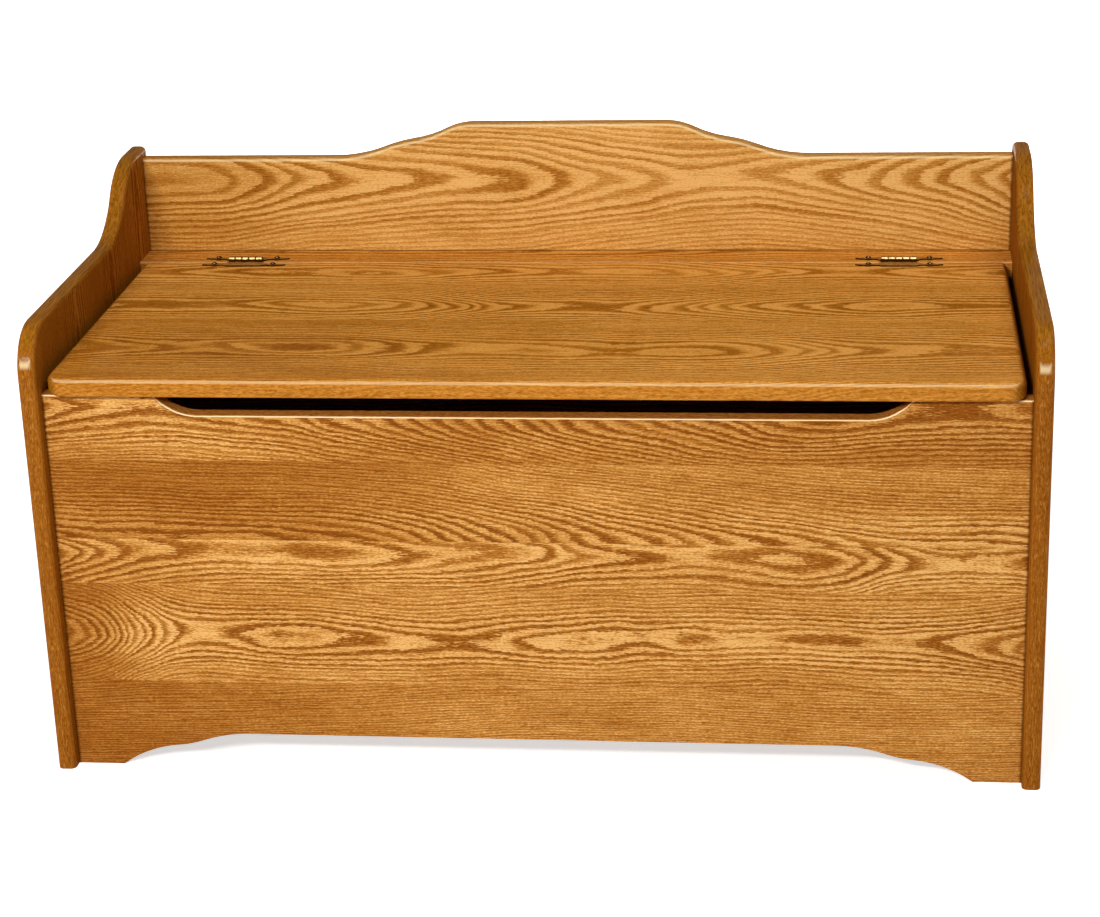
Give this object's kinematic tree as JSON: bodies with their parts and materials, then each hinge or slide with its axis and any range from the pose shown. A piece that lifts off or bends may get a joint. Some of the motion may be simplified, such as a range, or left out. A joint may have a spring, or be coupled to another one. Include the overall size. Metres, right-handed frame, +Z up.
{
  "type": "toy box bench",
  "caption": "Solid oak toy box bench: crested back, ogee arms, scalloped apron, finger pull, and a hinged seat lid on slotted lid stays.",
  "frame": {"origin": "on the floor under the middle of the bounding box", "axes": "+X to the right as seen from the front, +Y to the back, +Z up"},
  "size_m": [1.04, 0.49, 0.5914],
  "materials": {
    "oak": "satin lacquered golden oak",
    "oak_lid": "satin lacquered golden oak, a little darker",
    "cleat_wood": "bare planed hardwood",
    "plywood": "oak-faced plywood, sealed",
    "antique_brass": "antiqued, dark with rubbed highlights",
    "steel": "zinc plated",
    "rubber": "matt brown"
  },
  "bodies": {
    "carcass": {"left_side_panel": "oak", "right_side_panel": "oak", "front_panel": "oak", "back_panel": "oak", "hinge_rail": "oak", "front_cleat": "cleat_wood", "rear_cleat": "cleat_wood", "left_cleat": "cleat_wood", "right_cleat": "cleat_wood", "rail_cleat": "cleat_wood", "front_tongues": "cleat_wood", "back_tongues": "cleat_wood", "rail_tongues": "cleat_wood", "bottom_panel": "plywood", "left_hinge_rail_leaf": "antique_brass", "right_hinge_rail_leaf": "antique_brass", "left_hinge_pin": "antique_brass", "right_hinge_pin": "antique_brass", "hinge_rail_screws": "antique_brass", "stay_studs": "steel"},
    "lid": {"lid_panel": "oak_lid", "lid_bumpers": "rubber", "left_hinge_lid_leaf": "antique_brass", "right_hinge_lid_leaf": "antique_brass", "hinge_lid_screws": "antique_brass", "left_stay_bracket": "steel", "right_stay_bracket": "steel", "stay_rivets": "steel", "stay_bracket_screws": "steel"},
    "left_stay": {"left_stay_arm": "steel"},
    "right_stay": {"right_stay_arm": "steel"}
  },
  "joints": [
    {"name": "lid_hinge", "type": "hinge", "parent": "carcass", "child": "lid", "pos_m": [0, 0.17825, 0.44455], "axis": [-1, 0, 0], "range_deg": [0, 95]},
    {"name": "left_stay_pivot", "type": "hinge", "parent": "lid", "child": "left_stay", "pos_m": [-0.4907, 0.03925, 0.413], "axis": [-1, 0, 0], "range_deg": [-47.5, 0]},
    {"name": "right_stay_pivot", "type": "hinge", "parent": "lid", "child": "right_stay", "pos_m": [0.4907, 0.03925, 0.413], "axis": [-1, 0, 0], "range_deg": [-47.5, 0]}
  ],
  "couplings": [
    {"joint": "left_stay_pivot", "follows": "lid_hinge", "ratio": -0.5},
    {"joint": "right_stay_pivot", "follows": "lid_hinge", "ratio": -0.5}
  ]
}
